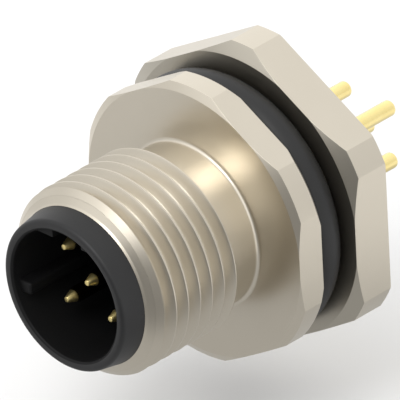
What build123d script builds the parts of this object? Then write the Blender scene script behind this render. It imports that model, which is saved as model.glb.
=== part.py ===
"""M12 panel connector with five pins: a male, front fastened, straight solder tail connector.

Units are millimetres. The axis is Y, with the mating end toward -Y and the solder tails toward +Y.
Z is up, and a corner of each hexagon and the coding keyway point that way.
The origin is on the axis, in the rear face of the flange, which is the face that rests on the panel.
"""

from build123d import *
import math
import os

# Lengths along the axis, as they were measured in the photo
flange_thickness = 1.9
front_length = 9.37          # flange to metal rim
collar_proud = 1.57          # black collar, beyond the metal rim
neck_length = 2.55           # thread run-out between the M12 thread and the flange
rear_length = 6.5            # panel thread end, behind the flange
seal_space = 2.3             # flange to panel nut
tail_reach = 13.1            # solder tail tips, behind the flange
pin_set_back = 1.94          # pin tips, behind the collar's mouth
socket_depth = 8.9

# The shell's radii
mating_thread_radius = 6.0   # M12 x 1
neck_radius = 5.12
neck_fillet = 0.3
seal_groove_radius = 6.2
seal_groove_length = 2.45
panel_thread_radius = 7.6    # Pg 9, 15.2 mm
front_chamfer = 0.75
run_out_chamfer = 0.5
rear_chamfer = 0.5
front_bore_radius = 5.06
front_bore_length = 6.1
middle_bore_radius = 4.72
rear_bore_radius = 5.5
rear_bore_step = 0.8         # start of the rear bore, ahead of the panel face

# Hexagons, across flats, with the turned cylinder that cuts their corners
flange_flats = 17.0
flange_corner_margin = 0.5   # corner radius, beyond half the flats
flange_front_chamfer = 0.38
flange_rear_chamfer = 0.25
nut_wall = 1.4               # between the panel thread and the flats, which makes the nut 18 mm across flats
nut_thickness = 2.75
nut_face_margin = 0.02       # turned face, beyond half the flats
nut_chamfer_width = 0.91
nut_chamfer_angle = 30.0
nut_rear_chamfer = 0.2
nut_thread_lead_in = 0.4

# Seals
panel_seal_section = 2.25
panel_seal_slopes = 5        # sides of its round section, in the outer half, which shows
carrier_seal_width = 1.4
carrier_seal_length = 1.5

# Carrier
collar_tip_radius = 4.82
collar_edge_round = 0.27
mouth_bevel = 0.29
mouth_bevel_depth = 0.18
socket_radius = 4.16
carrier_tail_radius = 4.0
carrier_tail_reach = 0.9     # behind the panel face

# Coding: a flat across the top of the socket, with a keyway in its middle, and one rib at the side
key_flat_height = 3.3        # from the axis
keyway_width = 2.24
coding_set_back = 0.5
side_rib_reach = 3.2         # from the axis to its inner face
side_rib_width = 0.78
side_rib_drop = 1.01         # its middle, below the axis

# Contacts
pin_circle_radius = 2.5
pin_radius = 0.5
pin_tip_radius = 0.17
pin_tip_length = 0.9
shank_radius = 0.75          # the part that is pressed into the carrier
shank_proud = 0.3            # beyond the potting
tail_radius = 0.5
tail_point = 0.25
tail_point_radius = 0.28

# Potting
potting_reach = 5.45

# Clearances between the pieces
fit_gap = 0.03               # carrier in shell
pin_gap = 0.02               # contact in carrier
potting_gap = 0.01           # potting against the walls that it sticks to
thread_gap = 0.05            # nut on the panel thread, both drawn plain
rooting = 0.1                # how far a key is rooted in the wall that carries it

# Derived places along the axis
flange_front = -flange_thickness
rim = flange_front - front_length
collar_front = rim - collar_proud
thread_end = flange_front - neck_length
bore_step = rim + front_bore_length
socket_floor = collar_front + socket_depth
coding_front = collar_front + coding_set_back
pin_tip = collar_front + pin_set_back
nut_front = seal_space
nut_rear = nut_front + nut_thickness
carrier_rear = carrier_tail_reach
potting_start = carrier_rear + potting_gap
shank_rear = potting_reach + shank_proud

# A quarter round is drawn as two slopes, whose shared point stands off both walls by this share of its radius
round_share = 1 - math.sqrt(0.5)

AXIS = Axis.Y


def turned(points):
    """Return the solid that a closed profile, of radius and place along the axis, makes when it turns."""
    outline = Polyline(*points, close=True)
    return revolve(make_face(outline), AXIS)


def rod(radius, start, end, x=0.0, z=0.0):
    """Return a plain round bar along the axis."""
    return Plane.XZ.offset(-start) * Pos(x, z, 0) * extrude(Circle(radius), -(end - start))


def block(width, height, start, end, x=0.0, z=0.0):
    """Return a square bar along the axis, centred on x, z."""
    return Pos(x, (start + end) / 2, z) * Box(width, end - start, height)


def hexagon(across_flats, start, end):
    """Return a hexagonal bar along the axis, with one corner up."""
    flat = RegularPolygon(across_flats / 2, 6, major_radius=False, rotation=30)
    return Plane.XZ.offset(-start) * extrude(flat, -(end - start))


def ring(section, inner_radius, start, slopes):
    """Return a ring between start and start plus its section, round outside and plainer where it is hidden."""
    half = section / 2
    angles = [math.pi * (step / slopes - 0.5) for step in range(slopes + 1)] + [math.pi]
    return turned([(inner_radius + half + half * math.cos(a), start + half + half * math.sin(a)) for a in angles])


# Shell: mating thread, neck, hexagonal flange and panel thread in one turned piece
flange_corner_radius = flange_flats / 2 + flange_corner_margin
shell_body = turned([
    (front_bore_radius, rim),
    (mating_thread_radius - front_chamfer, rim),
    (mating_thread_radius, rim + front_chamfer),
    (mating_thread_radius, thread_end - run_out_chamfer / 2),
    (mating_thread_radius - run_out_chamfer, thread_end),
    (neck_radius, thread_end),
    (neck_radius, flange_front - neck_fillet),
    (neck_radius + neck_fillet * round_share, flange_front - neck_fillet * round_share),
    (neck_radius + neck_fillet, flange_front),
    (flange_corner_radius - flange_front_chamfer, flange_front),
    (flange_corner_radius, flange_front + flange_front_chamfer),
    (flange_corner_radius, -flange_rear_chamfer),
    (flange_corner_radius - flange_rear_chamfer, 0),
    (seal_groove_radius, 0),
    (seal_groove_radius, seal_groove_length),
    (panel_thread_radius, seal_groove_length),
    (panel_thread_radius, rear_length - rear_chamfer),
    (panel_thread_radius - rear_chamfer, rear_length),
    (rear_bore_radius, rear_length),
    (rear_bore_radius, -rear_bore_step),
    (middle_bore_radius, -rear_bore_step),
    (middle_bore_radius, bore_step),
    (front_bore_radius, bore_step),
])

# The flats are milled on the flange only
flange_waste = (rod(flange_corner_radius * 2, flange_front, 0)
                - hexagon(flange_flats, flange_front, 0))
shell = shell_body - flange_waste

# Panel nut: a hexagon bar, turned down at both faces, and bored
nut_flats = 2 * (panel_thread_radius + nut_wall)
nut_face_radius = nut_flats / 2 + nut_face_margin
nut_corner_radius = nut_face_radius + nut_chamfer_width
chamfer_rise = nut_chamfer_width * math.tan(math.radians(nut_chamfer_angle))
nut_bore_radius = panel_thread_radius + thread_gap
nut_blank = turned([
    (nut_bore_radius, nut_front),
    (nut_face_radius, nut_front),
    (nut_corner_radius, nut_front + chamfer_rise),
    (nut_corner_radius, nut_rear - nut_rear_chamfer),
    (nut_corner_radius - nut_rear_chamfer * 2, nut_rear),
    (nut_bore_radius + nut_thread_lead_in, nut_rear),
    (nut_bore_radius, nut_rear - nut_thread_lead_in),
])
panel_nut = nut_blank & hexagon(nut_flats, nut_front, nut_rear)

# Seals: one under the flange for the panel, one behind the carrier's step inside the shell
panel_seal = ring(panel_seal_section, seal_groove_radius, 0, panel_seal_slopes)
carrier_seal_bore = carrier_tail_radius + fit_gap / 2
carrier_seal = (rod(carrier_seal_bore + carrier_seal_width, -rear_bore_step, carrier_seal_length - rear_bore_step)
                - rod(carrier_seal_bore, -rear_bore_step, carrier_seal_length - rear_bore_step))

# Carrier: the black insert, whose collar is the socket for the mating plug
carrier_body = turned([
    (0, socket_floor),
    (socket_radius, socket_floor),
    (socket_radius, collar_front + mouth_bevel_depth),
    (socket_radius + mouth_bevel, collar_front),
    (collar_tip_radius - collar_edge_round, collar_front),
    (collar_tip_radius - collar_edge_round * round_share, collar_front + collar_edge_round * round_share),
    (collar_tip_radius, collar_front + collar_edge_round),
    (front_bore_radius - fit_gap, rim),
    (front_bore_radius - fit_gap, bore_step - fit_gap),
    (middle_bore_radius - fit_gap, bore_step - fit_gap),
    (middle_bore_radius - fit_gap, -rear_bore_step),
    (carrier_tail_radius, -rear_bore_step),
    (carrier_tail_radius, carrier_rear),
    (0, carrier_rear),
])

# The coding reaches from near the mouth to the socket's floor
socket_core = rod(socket_radius + rooting, coding_front, socket_floor + rooting)
above_flat = block(socket_radius * 3, socket_radius, coding_front, socket_floor + rooting,
                   z=key_flat_height + socket_radius / 2)
keyway = block(keyway_width, socket_radius, coding_front, socket_floor + rooting,
               z=key_flat_height + socket_radius / 2)
beside_rib = block(socket_radius, side_rib_width, coding_front, socket_floor + rooting,
                   x=-side_rib_reach - socket_radius / 2, z=-side_rib_drop)
carrier = carrier_body + (socket_core & (above_flat - keyway)) + (socket_core & beside_rib)


# Contacts: each is one turned pin with a pressed shank and a solder tail
def contact(x, z):
    """Return a contact whose axis is at x, z."""
    return Pos(x, 0, z) * turned([
        (0, pin_tip),
        (pin_tip_radius, pin_tip),
        (pin_radius, pin_tip + pin_tip_length),
        (pin_radius, socket_floor),
        (shank_radius, socket_floor),
        (shank_radius, shank_rear),
        (tail_radius, shank_rear),
        (tail_radius, tail_reach - tail_point),
        (tail_point_radius, tail_reach),
        (0, tail_reach),
    ])


half_pitch = pin_circle_radius * math.sqrt(0.5)
contact_places = [
    (half_pitch, half_pitch),
    (-half_pitch, half_pitch),
    (-half_pitch, -half_pitch),
    (half_pitch, -half_pitch),
    (0, 0),
]
contacts = [contact(x, z) for x, z in contact_places]
for x, z in contact_places:
    carrier -= rod(shank_radius + pin_gap, socket_floor - rooting, carrier_rear, x, z)

# Potting: the resin that seals the shell's rear bore around the contacts
potting = turned([
    (0, potting_start),
    (rear_bore_radius - potting_gap, potting_start),
    (rear_bore_radius - potting_gap, potting_reach),
    (0, potting_reach),
])
for x, z in contact_places:
    potting -= rod(shank_radius + potting_gap, potting_start, potting_reach, x, z)

os.makedirs("parts", exist_ok=True)
export_step(shell, "parts/shell.step")
export_step(panel_nut, "parts/panel_nut.step")
export_step(panel_seal, "parts/panel_seal.step")
export_step(carrier, "parts/carrier.step")
export_step(carrier_seal, "parts/carrier_seal.step")
export_step(potting, "parts/potting.step")
for number, piece in enumerate(contacts, 1):
    export_step(piece, f"parts/contact_{number}.step")
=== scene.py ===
import bpy, bmesh, math
from mathutils import Matrix, Vector


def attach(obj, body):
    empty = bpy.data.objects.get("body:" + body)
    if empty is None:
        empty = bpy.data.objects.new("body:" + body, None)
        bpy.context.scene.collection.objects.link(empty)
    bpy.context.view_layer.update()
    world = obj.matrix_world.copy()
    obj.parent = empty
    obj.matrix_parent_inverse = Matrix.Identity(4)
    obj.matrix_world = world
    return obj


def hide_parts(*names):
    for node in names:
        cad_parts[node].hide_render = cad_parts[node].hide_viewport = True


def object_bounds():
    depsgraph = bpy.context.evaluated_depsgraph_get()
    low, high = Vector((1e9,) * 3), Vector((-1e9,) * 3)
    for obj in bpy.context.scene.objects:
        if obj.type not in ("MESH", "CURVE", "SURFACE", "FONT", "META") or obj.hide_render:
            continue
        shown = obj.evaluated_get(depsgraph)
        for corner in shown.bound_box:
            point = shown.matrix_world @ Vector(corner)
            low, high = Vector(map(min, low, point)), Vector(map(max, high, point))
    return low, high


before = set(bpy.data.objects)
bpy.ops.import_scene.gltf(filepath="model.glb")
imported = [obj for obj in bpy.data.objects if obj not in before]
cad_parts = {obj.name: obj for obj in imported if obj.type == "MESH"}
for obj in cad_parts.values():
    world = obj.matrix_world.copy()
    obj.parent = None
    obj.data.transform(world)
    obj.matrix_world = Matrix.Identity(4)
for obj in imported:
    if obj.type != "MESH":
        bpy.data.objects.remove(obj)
cadLow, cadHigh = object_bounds()
mm = 0.001  # sizes below are in millimetres
print("frame loaded:", len(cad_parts), "CAD nodes")


def addObject(name, data):
    thing = bpy.data.objects.new(name, data)
    bpy.context.collection.objects.link(thing)
    return thing


# a long lens, placed by where the collar's mouth stands in the picture
cameraSizes = {
    "pixelsPerMm": 17.29,       # across the view, at the collar's mouth
    "axisTilt": 52.44,          # degrees between the line of sight and the axis
    "axisSlope": 29.41,         # the axis rises by this much to the right
    "turn": 3.5,                # the connector is turned about its own axis
    "mouthPixel": (63.34, 296.58),
    "mouthPlace": -12.84,
    "distance": 1000.0,
    "frame": 400,
    "sensor": 36,
    "clip": (0.05, 20),         # metres
}


def placeCamera(c):
    tilt, slope, turned = (math.radians(c[k]) for k in ("axisTilt", "axisSlope", "turn"))
    axis = Vector((math.sin(tilt) * math.cos(slope), math.sin(tilt) * math.sin(slope), -math.cos(tilt)))
    level = Vector((0, -axis.z, axis.y)).normalized()  # the object's upright, as the camera sees it
    side = axis.cross(level)
    seenX = side * math.cos(turned) + level * math.sin(turned)
    seenZ = level * math.cos(turned) - side * math.sin(turned)
    right, up, back = (Vector((seenX[i], axis[i], seenZ[i])) for i in range(3))
    half = c["frame"] / 2
    aim = (Vector((0, c["mouthPlace"], 0)) + right * (half - c["mouthPixel"][0]) / c["pixelsPerMm"]
           + up * (c["mouthPixel"][1] - half) / c["pixelsPerMm"])
    eye = (aim + back * c["distance"]) * mm
    data = bpy.data.cameras.new("camera")
    data.sensor_width = c["sensor"]
    data.lens = c["sensor"] * c["distance"] / (c["frame"] / c["pixelsPerMm"])
    data.clip_start, data.clip_end = c["clip"]
    camera = addObject("camera", data)
    camera.matrix_world = Matrix(((right.x, up.x, back.x, eye.x), (right.y, up.y, back.y, eye.y),
                                  (right.z, up.z, back.z, eye.z), (0, 0, 0, 1)))
    bpy.context.scene.camera = camera


placeCamera(cameraSizes)
print("camera placed")


class Wire:  # a node's output that can be used in a sum
    def __init__(self, paint, socket):
        self.paint, self.socket = paint, socket

    def sums(self, operation, first, second):
        return self.paint.add("ShaderNodeMath", {"operation": operation}, {0: first, 1: second})

    def __add__(self, other):
        return self.sums("ADD", self, other)

    def __radd__(self, other):
        return self.sums("ADD", other, self)

    def __sub__(self, other):
        return self.sums("SUBTRACT", self, other)

    def __rsub__(self, other):
        return self.sums("SUBTRACT", other, self)

    def __mul__(self, other):
        return self.sums("MULTIPLY", self, other)

    def __rmul__(self, other):
        return self.sums("MULTIPLY", other, self)

    def __pow__(self, other):
        return self.sums("POWER", self, other)

    def __rpow__(self, other):
        return self.sums("POWER", other, self)


class Paint:  # the nodes of one material, or of the world
    def __init__(self, name, tree=None):
        if not tree:
            self.material = bpy.data.materials.new(name)
            self.material.use_nodes = True
            tree = self.material.node_tree
            self.shader = tree.nodes["Principled BSDF"]
        self.nodes, self.links = tree.nodes, tree.links

    def add(self, kind, settings, inputs, output=0):
        node = self.nodes.new(kind)
        for key, value in settings.items():
            setattr(node, key, value)
        for key, value in inputs.items():
            self.join(value, node.inputs[key])
        return Wire(self, node.outputs[output])

    def join(self, value, socket):
        if isinstance(value, Wire):
            self.links.new(value.socket, socket)
        else:
            socket.default_value = value

    def finish(self, inputs):
        for key, value in inputs.items():
            self.join(value, self.shader.inputs[key])
        return self.material

    def place(self):  # object coordinates in millimetres, whole and as x, y, z
        where = self.add("ShaderNodeTexCoord", {}, {}, "Object")
        scaled = self.add("ShaderNodeVectorMath", {"operation": "SCALE"}, {0: where, "Scale": 1000.0})
        return scaled, self.parts(scaled)

    def parts(self, vector):
        return [self.add("ShaderNodeSeparateXYZ", {}, {0: vector}, i) for i in range(3)]

    def noise(self, vector, scale, detail=3.0, roughness=0.5):
        return self.add("ShaderNodeTexNoise", {"noise_dimensions": "3D"},
                        {"Vector": vector, "Scale": scale, "Detail": detail, "Roughness": roughness})

    def stretch(self, vector, scale):
        return self.add("ShaderNodeMapping", {}, {"Vector": vector, "Scale": scale})

    def blend(self, factor, low, high):
        return self.add("ShaderNodeMix", {"data_type": "RGBA"}, {0: factor, 6: low, 7: high}, 2)

    def fade(self, value, edge):  # 0 before the edge, 1 behind it
        return self.add("ShaderNodeMapRange", {"interpolation_type": "SMOOTHSTEP"},
                        {"Value": value, "From Min": edge[0], "From Max": edge[1]})

    def facing(self, way, target):
        return self.add("ShaderNodeVectorMath", {"operation": "DOT_PRODUCT"},
                        {0: way, 1: Vector(target).normalized()}, "Value")

    def bump(self, height, strength, distance):
        return self.add("ShaderNodeBump", {}, {"Strength": strength, "Distance": distance * mm, "Height": height})


nickelLook = {
    "light": (0.63, 0.58, 0.49, 1), "shade": (0.60, 0.55, 0.46, 1),
    "roughness": 0.28, "fineSpread": 0.05, "cloudSpread": 0.03, "bump": (0.3, 0.0004),
    "marks": 9.0, "lines": (9.0, 0.35, 9.0), "fine": (1.6, 4.0, 0.62), "cloud": (0.35, 3.0, 0.5),
}
# a darker copy of the nickel: painted shade for the nut's turned front beside the seal
nutFrontShadeLook = nickelLook | {"light": (0.44, 0.41, 0.35, 1), "shade": (0.42, 0.39, 0.33, 1)}


def makeNickel(name, look, drawn=False):
    p = Paint(name)
    scaled, (x, y, z) = p.place()
    if drawn:  # fine lines run along a drawn bar
        marks = p.stretch(scaled, look["lines"])
    else:      # turning marks are the same all round the axis
        radius = (x * x + z * z) ** 0.5
        marks = p.add("ShaderNodeCombineXYZ", {}, {0: radius * look["marks"], 1: y * look["marks"], 2: 0.0})
    fine = p.noise(marks, *look["fine"])
    cloud = p.noise(scaled, *look["cloud"])
    return p.finish({
        "Base Color": p.blend(cloud, look["shade"], look["light"]), "Metallic": 1.0,
        "Roughness": look["roughness"] + fine * look["fineSpread"] + cloud * look["cloudSpread"],
        "Normal": p.bump(fine, *look["bump"]),
    })


goldLook = {
    "light": (0.93, 0.79, 0.38, 1), "shade": (0.88, 0.71, 0.29, 1), "cloud": 1.1,
    # shaftShade is painted shade on the shafts inside the socket; shaftStart and shaftEnd bound it
    "shaftShade": (0.055, 0.04, 0.015, 1), "shaftStart": (-10.38, -10.2), "shaftEnd": (-4.0, -3.9),
    "roughness": 0.16, "scuffSpread": 0.08, "tipSpread": 0.16, "scuffs": (10.0, 1.2, 10.0), "fine": 1.3,
}


def makeGold(name, look):  # the pins' shafts get painted shade deep in the socket, between tip and floor
    p = Paint(name)
    scaled, (x, y, z) = p.place()
    scuffs = p.noise(p.stretch(scaled, look["scuffs"]), look["fine"])
    gold = p.blend(p.noise(scaled, look["cloud"]), look["shade"], look["light"])
    behindTip = p.fade(y, look["shaftStart"])
    socketShadeMask = behindTip * (1 - p.fade(y, look["shaftEnd"]))
    return p.finish({
        "Base Color": p.blend(socketShadeMask, gold, look["shaftShade"]), "Metallic": 1.0,
        "Roughness": look["roughness"] + scuffs * look["scuffSpread"] + (1 - behindTip) * look["tipSpread"],
    })


blackLooks = {
    "carrierBlack": {"shade": (0.010, 0.010, 0.0105, 1), "light": (0.014, 0.014, 0.0145, 1), "roughness": 0.45,
                     "grain": 16.0, "depth": 0.001, "shine": 0.4},
    # a darker copy of the carrier's black: painted shade inside the socket
    "socketPaintedShade": {"shade": (0.003, 0.003, 0.0032, 1), "light": (0.0045, 0.0045, 0.0047, 1), "roughness": 0.5,
                    "grain": 16.0, "depth": 0.001, "shine": 0.2},
    "sealBlack": {"shade": (0.018, 0.018, 0.018, 1), "light": (0.022, 0.022, 0.022, 1), "roughness": 0.42,
                  "grain": 7.0, "depth": 0.0015, "shine": 0.3},
    "resinBlack": {"shade": (0.010, 0.010, 0.011, 1), "light": (0.016, 0.016, 0.017, 1), "roughness": 0.16,
                   "grain": 1.2, "depth": 0.02, "shine": 0.5},
}


def makeBlack(name, look):
    p = Paint(name)
    scaled, axes = p.place()
    fine = p.noise(scaled, look["grain"], 4.0, 0.6)
    cloud = p.noise(scaled, 0.6, 2.0)
    return p.finish({
        "Base Color": p.blend(cloud, look["shade"], look["light"]), "Roughness": look["roughness"] + fine * 0.08,
        "Normal": p.bump(fine, 0.4, look["depth"]), "Specular IOR Level": look["shine"],
    })


turnedNickel = makeNickel("turnedNickel", nickelLook)
drawnNickel = makeNickel("drawnNickel", nickelLook, drawn=True)
nutFrontPaintedShade = makeNickel("nutFrontPaintedShade", nutFrontShadeLook)
contactGold = makeGold("contactGold", goldLook)
carrierBlack, socketPaintedShade, sealBlack, resinBlack = (makeBlack(name, look) for name, look in blackLooks.items())
print("materials made")


def lathe(bm, outline, steps):  # a closed outline of (radius, place along the axis), turned once round
    ring = [bm.verts.new((radius * mm, place * mm, 0)) for radius, place in outline]
    edges = [bm.edges.new(pair) for pair in zip(ring, ring[1:] + ring[:1])]
    bmesh.ops.spin(bm, geom=ring + edges, cent=(0, 0, 0), axis=(0, -1, 0), dvec=(0, 0, 0), angle=2 * math.pi,
                   steps=steps, use_merge=True, use_normal_flip=False, use_duplicate=False)


def bisect(bm, place, way):  # cuts away what lies beyond the plane, and gives the edges of the cut
    cut = bmesh.ops.bisect_plane(bm, geom=bm.verts[:] + bm.edges[:] + bm.faces[:], dist=1e-8, plane_co=place,
                                 plane_no=way, clear_outer=True)
    return [e for e in cut["geom_cut"] if isinstance(e, bmesh.types.BMEdge)]


def cutHexagon(bm, acrossFlats):  # mills six flats, with a corner up; they get the second material
    for i in range(6):
        angle = math.radians(60 * i)
        out = Vector((math.cos(angle), 0, math.sin(angle)))
        rim = bisect(bm, out * acrossFlats / 2 * mm, out)
        for face in bmesh.ops.edgeloop_fill(bm, edges=rim)["faces"]:
            face.material_index = 1


def roundEdges(bm, width, segments=2, sharper=24):
    edges = [e for e in bm.edges if len(e.link_faces) == 2 and e.calc_face_angle() > math.radians(sharper)]
    bmesh.ops.bevel(bm, geom=edges, offset=width * mm, offset_type="OFFSET", segments=segments, profile=0.5,
                    affect="EDGES", clamp_overlap=True, material=-1)


def settle(bm, merge=0.0015):  # merges doubles, then points the faces outwards
    bmesh.ops.remove_doubles(bm, verts=bm.verts, dist=merge * mm)
    bmesh.ops.recalc_face_normals(bm, faces=bm.faces)


def shadeSmooth(bm, sharpFrom):  # edges that bend by more than this stay crisp
    for face in bm.faces:
        face.smooth = True
    for edge in bm.edges:
        edge.smooth = len(edge.link_faces) == 2 and edge.calc_face_angle() < math.radians(sharpFrom)


def makePiece(name, meshes, materials, body, replaced, crisp=()):
    joined = bpy.data.meshes.new(name)
    whole = bmesh.new()
    for bm in meshes:
        shadeSmooth(bm, 5 if bm in crisp else 28)
        part = bpy.data.meshes.new(name + "Part")
        bm.to_mesh(part)
        bm.free()
        whole.from_mesh(part)
        bpy.data.meshes.remove(part)
    whole.to_mesh(joined)
    whole.free()
    for material in materials:
        joined.materials.append(material)
    piece = addObject(name, joined)
    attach(piece, body)
    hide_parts(*replaced)
    print("made", name, len(joined.polygons), "faces")


def arc(centre, size, start, end, steps=6):  # points of a round edge, in (radius, place along the axis)
    angles = [math.radians(start + (end - start) * i / steps) for i in range(steps + 1)]
    return [(centre[0] + size[0] * math.cos(a), centre[1] + size[1] * math.sin(a)) for a in angles]


def limitRadius(bm, limit):  # cuts back what stands out past a turned outline
    for v in bm.verts:
        radius = math.hypot(v.co.x, v.co.z)
        most = limit(v.co.y / mm) * mm
        if radius > most:
            v.co.x *= most / radius
            v.co.z *= most / radius


def endLoop(bm, place):
    return [e for e in bm.edges if e.is_boundary and all(abs(v.co.y - place * mm) < 2e-7 for v in e.verts)]


def stepIn(bm, edges, radius):  # carries an end loop in to a smaller radius
    made = bmesh.ops.extrude_edge_only(bm, edges=edges)["geom"]
    for v in (g for g in made if isinstance(g, bmesh.types.BMVert)):
        size = radius * mm / math.hypot(v.co.x, v.co.z)
        v.co.x *= size
        v.co.z *= size
    return [g for g in made if isinstance(g, bmesh.types.BMEdge)]


# one side of a thread's tooth: share of the pitch from the crest, share of the depth; it eases out at the root
toothSide = [(0.024, 1.0), (0.04, 0.988), (0.055, 0.955), (0.13, 0.737), (0.21, 0.522), (0.29, 0.328), (0.37, 0.155),
             (0.42, 0.061), (0.46, 0.010)]
toothShape = [(-0.5, 0.0)] + [(-along, share) for along, share in reversed(toothSide)] + toothSide


def threadBarrel(t):  # a right-hand thread on a tube, turned down at both ends
    bm = bmesh.new()
    depth = t["crest"] - t["root"]
    first = math.floor((t["start"] - t["phase"]) / t["pitch"]) - 1
    count = math.ceil((t["end"] - t["start"]) / t["pitch"]) + 4
    line = [(t["root"] + depth * share, t["phase"] + t["pitch"] * (first + turnNumber + along))
            for turnNumber in range(count) for along, share in toothShape]
    verts = [bm.verts.new((radius * mm, place * mm, 0)) for radius, place in line]
    edges = [bm.edges.new(pair) for pair in zip(verts, verts[1:])]
    bmesh.ops.spin(bm, geom=verts + edges, cent=(0, 0, 0), axis=(0, -1, 0),
                   dvec=(0, -t["pitch"] / t["steps"] * mm, 0), angle=2 * math.pi, steps=t["steps"],
                   use_merge=False, use_normal_flip=False, use_duplicate=False)
    bmesh.ops.remove_doubles(bm, verts=bm.verts, dist=0.002 * mm)
    for key, way in (("start", -1), ("end", 1)):
        bisect(bm, (0, t[key] * mm, 0), (0, way, 0))
    limitRadius(bm, lambda y: min(t["startRadius"] + (y - t["start"]) * t["startRise"],
                                  t["endRadius"] + (t["end"] - y) * t["endRise"]))
    inner = [stepIn(bm, endLoop(bm, t[key]), t["bore"]) for key in ("start", "end")]
    bmesh.ops.bridge_loops(bm, edges=inner[0] + inner[1])
    settle(bm)
    return bm


# shell: mating thread, rim, neck, flange, seal groove and panel thread
matingThread = {
    "pitch": 1.0, "crest": 6.0, "root": 5.37, "phase": -9.61, "start": -10.9, "end": -4.42,
    "startRadius": 5.53, "startRise": 1.0, "endRadius": 5.75, "endRise": 3.0, "bore": 5.07, "steps": 160,
}
panelThread = {
    "pitch": 1.411, "crest": 7.6, "root": 6.95, "phase": 3.4, "start": 2.45, "end": 6.5,
    "startRadius": 7.1, "startRise": 1.2, "endRadius": 7.1, "endRise": 1.0, "bore": 5.5, "steps": 144,
}
rimSizes = {
    "front": -11.27, "bore": 5.045, "lip": 0.11, "faceEdge": 5.56, "faceRise": 0.28, "chamfer": 0.36,
    "chamferRise": 0.32, "steps": 160,
}
neckSizes = {"radius": 5.16, "fillet": 0.26, "bore": 4.75, "start": -4.72, "end": -1.0, "steps": 160}
flangeSizes = {
    "front": -1.9, "flats": 17.0, "corner": 9.0, "bore": 4.75, "chamferWidth": 0.48, "chamferDepth": 0.28,
    "rearChamfer": 0.25, "edge": 0.01, "steps": 180,
}
grooveSizes = {"bore": 5.5, "radius": 6.2, "start": -0.6, "end": 2.65, "steps": 144}


def makeRim(s):  # a bright lip, a sloping face and a chamfer
    bm = bmesh.new()
    face, edge = s["front"] + s["lip"], s["faceEdge"]
    slope = face + s["faceRise"]
    outer, back = edge + s["chamfer"], slope + s["chamferRise"]
    lathe(bm, [(s["bore"], s["front"]), (s["bore"] + s["lip"], face), (edge - 0.02, slope - 0.005), (edge, slope),
               (edge + 0.015, slope + 0.013), (outer, back), (s["bore"], back)], s["steps"])
    settle(bm)
    return bm


def makeNeck(s, flangeFront):
    bm = bmesh.new()
    foot = s["radius"] + s["fillet"]
    fillet = arc((foot, flangeFront - s["fillet"]), (s["fillet"],) * 2, 180, 90)
    lathe(bm, [(s["bore"], s["start"]), (s["radius"], s["start"])] + fillet
          + [(foot, s["end"]), (s["bore"], s["end"])], s["steps"])
    settle(bm)
    return bm


def makeFlange(s):
    bm = bmesh.new()
    lathe(bm, [(s["bore"], s["front"]), (s["corner"] - s["chamferWidth"], s["front"]),
               (s["corner"], s["front"] + s["chamferDepth"]), (s["corner"], -s["rearChamfer"]),
               (s["corner"] - s["rearChamfer"], 0), (s["bore"], 0)], s["steps"])
    cutHexagon(bm, s["flats"])
    settle(bm)
    roundEdges(bm, s["edge"])
    return bm


def makeGroove(s):
    bm = bmesh.new()
    lathe(bm, [(s["bore"], s["start"]), (s["radius"], s["start"]), (s["radius"], s["end"]), (s["bore"], s["end"])],
          s["steps"])
    settle(bm)
    return bm


def makeShell():
    rim, flange = makeRim(rimSizes), makeFlange(flangeSizes)
    turnedParts = [threadBarrel(matingThread), rim, makeNeck(neckSizes, flangeSizes["front"]), flange,
                   makeGroove(grooveSizes), threadBarrel(panelThread)]
    makePiece("shellTurned", turnedParts, [turnedNickel, drawnNickel], "housing", ["shell"],
              [flange, rim])


makeShell()

# panel nut: a hexagon bar with a turned, chamfered front
nutSizes = {
    "front": 2.3, "rear": 5.05, "flats": 18.0, "corner": 9.925, "face": 9.1, "chamferAngle": 30,
    "rearChamfer": 0.03, "bore": 7.65, "leadIn": 0.4, "edge": 0.01, "steps": 180,
}


def makeNut(s):
    bm = bmesh.new()
    rise = (s["corner"] - s["face"]) * math.tan(math.radians(s["chamferAngle"]))
    lathe(bm, [(s["bore"], s["front"]), (s["face"], s["front"]), (s["corner"], s["front"] + rise),
               (s["corner"], s["rear"] - s["rearChamfer"]), (s["corner"] - s["rearChamfer"] * 2, s["rear"]),
               (s["bore"] + s["leadIn"], s["rear"]), (s["bore"], s["rear"] - s["leadIn"])], s["steps"])
    cutHexagon(bm, s["flats"])
    settle(bm)
    roundEdges(bm, s["edge"])
    for face in bm.faces:
        if face.normal.y < -0.3:  # the turned front and its chamfer get the darker nickel, painted shade beside the seal
            face.material_index = 2
    makePiece("panelNut", [bm], [turnedNickel, drawnNickel, nutFrontPaintedShade], "nut", ["panel_nut"], [bm])


makeNut(nutSizes)

# panel seal: a round ring with a faint mould line inside and outside
sealSizes = {"section": 2.25, "inner": 6.2, "mouldLine": 0.01, "sides": 36, "steps": 160}


def makeSeal(s):
    bm = bmesh.new()
    middle, half = s["inner"] + s["section"] / 2, s["section"] / 2
    outline = []
    for i in range(s["sides"]):
        angle = 2 * math.pi * i / s["sides"]
        size = half if i in (0, s["sides"] // 2) else half - s["mouldLine"]
        outline.append((middle + size * math.cos(angle), half + size * math.sin(angle)))
    lathe(bm, outline, s["steps"])
    settle(bm)
    makePiece("panelSeal", [bm], [sealBlack], "housing", ["panel_seal"])


makeSeal(sealSizes)

# carrier: the collar with its socket, two coding flats beside a keyway, and a rib at the side
carrierSizes = {
    "front": -12.84, "rim": -11.27, "tip": 4.82, "edge": 0.27, "outer": 5.035, "mouthWidth": 0.29, "mouthDepth": 0.18,
    "bore": 4.16, "floor": -3.94, "step": -5.2, "middle": 4.69, "rear": 0.9, "tail": 4.0, "shoulder": -0.8,
    "centre": 0.001, "steps": 160,
}
codingSizes = {
    "start": -12.34, "end": -3.74, "outer": 4.30, "flat": 3.3, "keyway": 1.12, "flatEdge": 0.07, "segments": 96,
    "ribReach": 3.2, "ribLow": -1.4, "ribHigh": -0.62, "ribEdge": 0.17,
}


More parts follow.
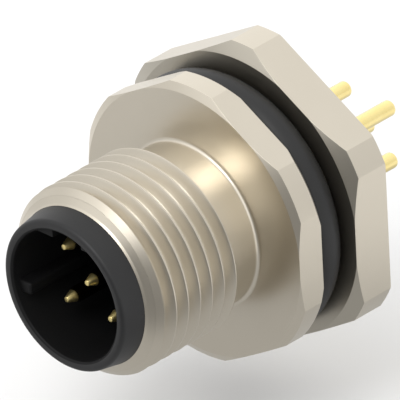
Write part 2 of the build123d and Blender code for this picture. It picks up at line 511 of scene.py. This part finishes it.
def wallSegment(s, side):  # fills the socket's top beyond a flat, on one side of the keyway
    bm = bmesh.new()
    bmesh.ops.create_cone(bm, cap_ends=True, segments=s["segments"], radius1=s["outer"] * mm,
                          radius2=s["outer"] * mm, depth=(s["end"] - s["start"]) * mm)
    bmesh.ops.transform(bm, verts=bm.verts, matrix=Matrix.Translation((0, (s["start"] + s["end"]) / 2 * mm, 0))
                        @ Matrix.Rotation(math.pi / 2, 4, "X"))
    for place, way in (((0, 0, s["flat"] * mm), (0, 0, -1)), ((side * s["keyway"] * mm, 0, 0), (-side, 0, 0))):
        bmesh.ops.edgeloop_fill(bm, edges=bisect(bm, place, way))
    settle(bm)
    roundEdges(bm, s["flatEdge"], 3, 40)
    return bm


def sideRib(s):
    bm = bmesh.new()
    made = bmesh.ops.create_cube(bm, size=1.0)["verts"]
    middle = Vector((-(s["outer"] + s["ribReach"]) / 2, (s["start"] + s["end"]) / 2,
                     (s["ribLow"] + s["ribHigh"]) / 2))
    span = Vector((s["outer"] - s["ribReach"], s["end"] - s["start"], s["ribHigh"] - s["ribLow"]))
    bmesh.ops.transform(bm, matrix=Matrix.Translation(middle * mm) @ Matrix.Diagonal((span * mm).to_4d()), verts=made)
    settle(bm)
    roundEdges(bm, s["ribEdge"], 5)
    return bm


def makeCarrier(s, coding):
    body = bmesh.new()
    mouth = arc((s["bore"] + s["mouthWidth"], s["front"] + s["mouthDepth"]), (s["mouthWidth"], s["mouthDepth"]),
                180, 270)
    collarEdge = arc((s["tip"] - s["edge"], s["front"] + s["edge"]), (s["edge"],) * 2, 270, 360)
    lathe(body, [(s["centre"], s["floor"]), (s["bore"], s["floor"])] + mouth + collarEdge
          + [(s["outer"], s["rim"]), (s["outer"], s["step"]), (s["middle"], s["step"]), (s["middle"], s["shoulder"]),
             (s["tail"], s["shoulder"]), (s["tail"], s["rear"]), (s["centre"], s["rear"])], s["steps"])
    settle(body, 0.004)
    parts = [body, wallSegment(coding, 1), wallSegment(coding, -1), sideRib(coding)]
    for bm in parts:
        for face in bm.faces:
            middle = face.calc_center_median() / mm
            # faces inside the socket get the darker black, painted shade in the recess
            inside = math.hypot(middle.x, middle.z) < coding["outer"] and middle.y < s["floor"] + 0.1
            face.material_index = 1 if inside else 0
    makePiece("contactCarrier", parts, [carrierBlack, socketPaintedShade], "housing", ["carrier"])


makeCarrier(carrierSizes, codingSizes)

# contacts: a pin with a conical tip, a pressed shank and a solder tail
contactSizes = {
    "circle": 2.5, "pin": 0.5, "tip": 0.17, "tipPlace": -10.9, "cone": 0.9, "shank": 0.75, "shankStart": -3.8,
    "shankEnd": 5.75, "tail": 0.5, "end": 13.1, "point": 0.25, "pointRadius": 0.22, "edge": 0.04,
    "centre": 0.0008, "steps": 40,
}


def makeContact(s, number, x, z):
    bm = bmesh.new()
    crown = arc((s["pointRadius"], s["end"] - s["point"]), (s["tail"] - s["pointRadius"], s["point"]), 0, 90, 5)
    lathe(bm, [(s["centre"], s["tipPlace"]), (s["tip"], s["tipPlace"]), (s["pin"], s["tipPlace"] + s["cone"]),
               (s["pin"], s["shankStart"]), (s["shank"], s["shankStart"]), (s["shank"], s["shankEnd"]),
               (s["tail"], s["shankEnd"])] + crown + [(s["centre"], s["end"])], s["steps"])
    settle(bm, 0.003)
    roundEdges(bm, s["edge"], 3)
    bmesh.ops.translate(bm, verts=bm.verts, vec=(x * mm, 0, z * mm))
    makePiece(f"contact{number}", [bm], [contactGold], "housing", [f"contact_{number}"])


reach = contactSizes["circle"] * math.sqrt(0.5)
for number, (x, z) in enumerate([(reach, reach), (-reach, reach), (-reach, -reach), (reach, -reach), (0, 0)], 1):
    makeContact(contactSizes, number, x, z)

for nodeName, material in (("potting", resinBlack), ("carrier_seal", sealBlack)):  # these keep their CAD shape
    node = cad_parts[nodeName]
    node.data.materials.clear()
    node.data.materials.append(material)
print("CAD nodes painted")

floorSizes = {"reach": 1.2, "drop": 2.8, "colour": (0.77, 0.77, 0.77, 1)}  # reach in metres


def makeFloor(s):
    bm = bmesh.new()
    bmesh.ops.create_grid(bm, x_segments=1, y_segments=1, size=s["reach"])
    bmesh.ops.translate(bm, verts=bm.verts, vec=(0, 0, cadLow.z - s["drop"] * mm))
    mesh = bpy.data.meshes.new("floor")
    bm.to_mesh(mesh)
    bm.free()
    p = Paint("floorPaper")
    mesh.materials.append(p.finish({"Base Color": s["colour"], "Roughness": 1.0, "Specular IOR Level": 0.0}))
    addObject("floor", mesh)


skyLook = {
    "colour": (1.0, 1.0, 1.0, 1), "level": 1.09, "rise": 0.12, "left": 0.26,
    "patches": [
        {"light": 0.65, "way": (0.78, -0.55, 0.27), "edge": (0.86, 0.98)},
        {"light": 0.50, "way": (-0.48, -0.58, 0.66), "edge": (0.88, 0.98)},
    ],
}


def makeSky(s):  # brighter overhead and at the left, with two softly lit patches
    world = bpy.data.worlds.new("studio")
    bpy.context.scene.world = world
    world.use_nodes = True
    p = Paint("sky", world.node_tree)
    way = p.add("ShaderNodeTexCoord", {}, {}, "Generated")
    x, y, z = p.parts(way)
    level = s["level"] + z * s["rise"] - x * s["left"]
    for patch in s["patches"]:
        level = level + p.fade(p.facing(way, patch["way"]), patch["edge"]) * patch["light"]
    p.join(s["colour"], p.nodes["Background"].inputs["Color"])
    p.join(level, p.nodes["Background"].inputs["Strength"])


# painted reflections: dark zones and a pale glowing lower part, seen only in the metal
reflectionDomeLook = {
    "reach": (60.0, 60.0, 12.5), "squash": (1.0, 1.0, 0.9), "dark": 0.24, "pale": 0.59, "paleEdge": (0.30, 0.50),
    "darkZones": [
        {"cover": 0.95, "way": (0.36, -0.88, -0.20), "edge": (0.81, 0.90)},
        {"cover": 0.40, "way": (-0.60, -0.78, 0.15), "edge": (0.5, 0.95)},
    ],
}


def hangReflectionDome(s):  # a dome round the connector that only shows in the metal: painted dark reflections, and a pale glowing lower part painting the floor's reflection
    bm = bmesh.new()
    bmesh.ops.create_uvsphere(bm, u_segments=96, v_segments=48, radius=mm)
    bmesh.ops.transform(bm, verts=bm.verts, matrix=Matrix.Diagonal((*s["reach"], 1)))
    mesh = bpy.data.meshes.new("paintedReflectionDome")
    bm.to_mesh(mesh)
    bm.free()
    p = Paint("reflectionDomePaint")
    scaled, axes = p.place()
    squashed = p.add("ShaderNodeVectorMath", {"operation": "MULTIPLY"}, {0: scaled, 1: s["squash"]})
    way = p.add("ShaderNodeVectorMath", {"operation": "NORMALIZE"}, {0: squashed})
    cover = 0
    for darkZone in s["darkZones"]:
        cover = cover + p.fade(p.facing(way, darkZone["way"]), darkZone["edge"]) * darkZone["cover"]
    low = p.fade(0 - p.parts(way)[2], s["paleEdge"])
    shade = p.blend(low, (s["dark"],) * 3 + (1,), (s["pale"],) * 3 + (1,))
    mesh.materials.append(p.finish({"Base Color": (0, 0, 0, 1), "Specular IOR Level": 0.0, "Emission Strength": 1.0,
                                    "Emission Color": shade, "Alpha": cover * (1 - low) + low}))
    reflectionDome = addObject("paintedReflectionDome", mesh)
    reflectionDome.visible_camera = reflectionDome.visible_diffuse = reflectionDome.visible_shadow = reflectionDome.visible_transmission = False


lampSizes = {"way": (0.127, -0.609, 0.779), "distance": 0.30, "size": 0.16, "power": 0.29, "colour": (1.0, 1.0, 1.0)}


def addLamp(s):
    data = bpy.data.lights.new("keyLamp", "AREA")
    data.shape, data.size, data.energy, data.color = "DISK", s["size"], s["power"], s["colour"]
    lamp = addObject("keyLamp", data)
    way = Vector(s["way"]).normalized()
    lamp.location = way * s["distance"]
    lamp.rotation_euler = way.to_track_quat("Z", "Y").to_euler()


makeFloor(floorSizes)
makeSky(skyLook)
hangReflectionDome(reflectionDomeLook)
addLamp(lampSizes)
print("studio lit")

bpy.context.scene.view_settings.view_transform = "Standard"
